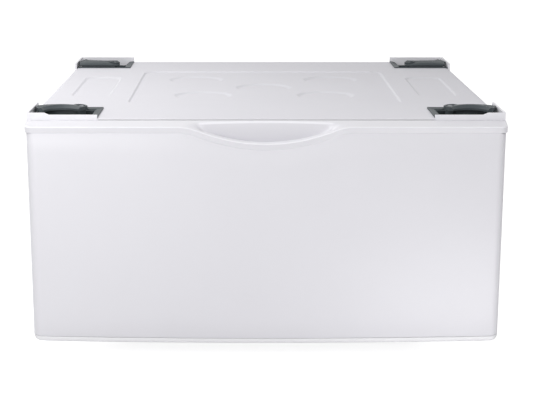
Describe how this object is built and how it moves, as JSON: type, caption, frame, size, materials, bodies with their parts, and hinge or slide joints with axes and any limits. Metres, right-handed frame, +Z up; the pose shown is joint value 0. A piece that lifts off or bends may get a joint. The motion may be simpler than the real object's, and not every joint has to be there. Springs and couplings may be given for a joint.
{
  "type": "washer pedestal drawer",
  "caption": "White steel laundry pedestal with a pull-out storage drawer, curved finger handle, dark corner trays with swing clamps for the appliance's feet, and levelling feet.",
  "frame": {"origin": "on the floor, below the centre of the whole pedestal", "axes": "+X to the right seen from the front, +Y from the drawer front to the rear, +Z up; the drawer opens along -Y"},
  "size_m": [0.686, 0.721, 0.3625],
  "materials": {
    "painted_steel": "smooth white enamel, semi-gloss",
    "painted_front": "smooth white enamel, semi-gloss",
    "drawer_steel": "light grey powder coat",
    "zinc_steel": "zinc plated",
    "cage_steel": "bright, oiled",
    "cap_plastic": "white moulded plastic, satin gloss",
    "trim_plastic": "pale grey moulded plastic",
    "dark_plastic": "slate grey moulded plastic, fine texture",
    "dark_rubber": "matte black rubber"
  },
  "bodies": {
    "cabinet": {"top_deck": "painted_steel", "side_panel_left": "painted_steel", "side_panel_right": "painted_steel", "rear_panel": "painted_steel", "front_top_rail": "painted_steel", "front_bottom_rail": "painted_steel", "rear_bottom_rail": "painted_steel", "slide_support_left": "zinc_steel", "slide_support_right": "zinc_steel", "slide_outer_left": "zinc_steel", "slide_outer_right": "zinc_steel", "foot_plates": "zinc_steel", "foot_nuts": "zinc_steel", "lock_nuts": "zinc_steel", "cabinet_screws": "zinc_steel", "bracket_screws": "zinc_steel", "clamp_pins": "zinc_steel", "corner_bracket_front_left": "painted_steel", "corner_bracket_front_right": "painted_steel", "corner_bracket_rear_left": "painted_steel", "corner_bracket_rear_right": "painted_steel", "foot_tray_front_left": "dark_plastic", "foot_tray_front_right": "dark_plastic", "foot_tray_rear_left": "dark_plastic", "foot_tray_rear_right": "dark_plastic", "seat_pad_front_left": "dark_rubber", "seat_pad_front_right": "dark_rubber", "seat_pad_rear_left": "dark_rubber", "seat_pad_rear_right": "dark_rubber"},
    "drawer": {"front_panel": "painted_front", "front_pan": "painted_front", "handle_cap": "cap_plastic", "bottom_trim": "trim_plastic", "drawer_floor": "drawer_steel", "drawer_side_left": "drawer_steel", "drawer_side_right": "drawer_steel", "drawer_back": "drawer_steel", "drawer_inner_front": "drawer_steel", "slide_inner_left": "zinc_steel", "slide_inner_right": "zinc_steel", "drawer_screws": "zinc_steel", "drawer_bumpers": "dark_rubber"},
    "slide_middle_left": {"slide_middle_left": "zinc_steel"},
    "ball_cage_outer_left": {"ball_cage_outer_left": "cage_steel"},
    "ball_cage_inner_left": {"ball_cage_inner_left": "cage_steel"},
    "slide_middle_right": {"slide_middle_right": "zinc_steel"},
    "ball_cage_outer_right": {"ball_cage_outer_right": "cage_steel"},
    "ball_cage_inner_right": {"ball_cage_inner_right": "cage_steel"},
    "foot_clamp_front_left": {"foot_clamp_front_left": "dark_plastic"},
    "foot_pad_front_left": {"foot_pad_front_left": "dark_rubber"},
    "foot_bolt_front_left": {"foot_bolt_front_left": "zinc_steel"},
    "foot_clamp_front_right": {"foot_clamp_front_right": "dark_plastic"},
    "foot_pad_front_right": {"foot_pad_front_right": "dark_rubber"},
    "foot_bolt_front_right": {"foot_bolt_front_right": "zinc_steel"},
    "foot_clamp_rear_left": {"foot_clamp_rear_left": "dark_plastic"},
    "foot_pad_rear_left": {"foot_pad_rear_left": "dark_rubber"},
    "foot_bolt_rear_left": {"foot_bolt_rear_left": "zinc_steel"},
    "foot_clamp_rear_right": {"foot_clamp_rear_right": "dark_plastic"},
    "foot_pad_rear_right": {"foot_pad_rear_right": "dark_rubber"},
    "foot_bolt_rear_right": {"foot_bolt_rear_right": "zinc_steel"}
  },
  "joints": [
    {"name": "drawer_slide", "type": "slide", "parent": "cabinet", "child": "drawer", "axis": [0, -1, 0], "range_m": [0, 0.48]},
    {"name": "slide_middle_left_slide", "type": "slide", "parent": "cabinet", "child": "slide_middle_left", "axis": [0, -1, 0], "range_m": [0, 0.24]},
    {"name": "ball_cage_outer_left_slide", "type": "slide", "parent": "cabinet", "child": "ball_cage_outer_left", "axis": [0, -1, 0], "range_m": [0, 0.12]},
    {"name": "ball_cage_inner_left_slide", "type": "slide", "parent": "cabinet", "child": "ball_cage_inner_left", "axis": [0, -1, 0], "range_m": [0, 0.36]},
    {"name": "slide_middle_right_slide", "type": "slide", "parent": "cabinet", "child": "slide_middle_right", "axis": [0, -1, 0], "range_m": [0, 0.24]},
    {"name": "ball_cage_outer_right_slide", "type": "slide", "parent": "cabinet", "child": "ball_cage_outer_right", "axis": [0, -1, 0], "range_m": [0, 0.12]},
    {"name": "ball_cage_inner_right_slide", "type": "slide", "parent": "cabinet", "child": "ball_cage_inner_right", "axis": [0, -1, 0], "range_m": [0, 0.36]},
    {"name": "clamp_front_left_hinge", "type": "hinge", "parent": "cabinet", "child": "foot_clamp_front_left", "pos_m": [-0.273, -0.2595, 0.358], "axis": [0, 0, -1], "range_deg": [0, 65]},
    {"name": "clamp_front_right_hinge", "type": "hinge", "parent": "cabinet", "child": "foot_clamp_front_right", "pos_m": [0.273, -0.2595, 0.358], "axis": [0, 0, 1], "range_deg": [0, 65]},
    {"name": "clamp_rear_left_hinge", "type": "hinge", "parent": "cabinet", "child": "foot_clamp_rear_left", "pos_m": [-0.273, 0.2905, 0.358], "axis": [0, 0, 1], "range_deg": [0, 65]},
    {"name": "clamp_rear_right_hinge", "type": "hinge", "parent": "cabinet", "child": "foot_clamp_rear_right", "pos_m": [0.273, 0.2905, 0.358], "axis": [0, 0, -1], "range_deg": [0, 65]},
    {"name": "foot_front_left_height", "type": "slide", "parent": "cabinet", "child": "foot_pad_front_left", "axis": [0, 0, -1], "range_m": [0, 0.012]},
    {"name": "foot_front_left_turn", "type": "hinge", "parent": "foot_pad_front_left", "child": "foot_bolt_front_left", "pos_m": [-0.288, -0.2255, 0.02], "axis": [0, 0, -1], "range_deg": [0, 2880]},
    {"name": "foot_front_right_height", "type": "slide", "parent": "cabinet", "child": "foot_pad_front_right", "axis": [0, 0, -1], "range_m": [0, 0.012]},
    {"name": "foot_front_right_turn", "type": "hinge", "parent": "foot_pad_front_right", "child": "foot_bolt_front_right", "pos_m": [0.288, -0.2255, 0.02], "axis": [0, 0, -1], "range_deg": [0, 2880]},
    {"name": "foot_rear_left_height", "type": "slide", "parent": "cabinet", "child": "foot_pad_rear_left", "axis": [0, 0, -1], "range_m": [0, 0.012]},
    {"name": "foot_rear_left_turn", "type": "hinge", "parent": "foot_pad_rear_left", "child": "foot_bolt_rear_left", "pos_m": [-0.288, 0.2565, 0.02], "axis": [0, 0, -1], "range_deg": [0, 2880]},
    {"name": "foot_rear_right_height", "type": "slide", "parent": "cabinet", "child": "foot_pad_rear_right", "axis": [0, 0, -1], "range_m": [0, 0.012]},
    {"name": "foot_rear_right_turn", "type": "hinge", "parent": "foot_pad_rear_right", "child": "foot_bolt_rear_right", "pos_m": [0.288, 0.2565, 0.02], "axis": [0, 0, -1], "range_deg": [0, 2880]}
  ],
  "couplings": [
    {"joint": "slide_middle_left_slide", "follows": "drawer_slide", "ratio": 0.5},
    {"joint": "ball_cage_outer_left_slide", "follows": "drawer_slide", "ratio": 0.25},
    {"joint": "ball_cage_inner_left_slide", "follows": "drawer_slide", "ratio": 0.75},
    {"joint": "slide_middle_right_slide", "follows": "drawer_slide", "ratio": 0.5},
    {"joint": "ball_cage_outer_right_slide", "follows": "drawer_slide", "ratio": 0.25},
    {"joint": "ball_cage_inner_right_slide", "follows": "drawer_slide", "ratio": 0.75},
    {"joint": "foot_front_left_turn", "follows": "foot_front_left_height", "rad_per_m": 4188.7},
    {"joint": "foot_front_right_turn", "follows": "foot_front_right_height", "rad_per_m": 4188.7},
    {"joint": "foot_rear_left_turn", "follows": "foot_rear_left_height", "rad_per_m": 4188.7},
    {"joint": "foot_rear_right_turn", "follows": "foot_rear_right_height", "rad_per_m": 4188.7}
  ]
}
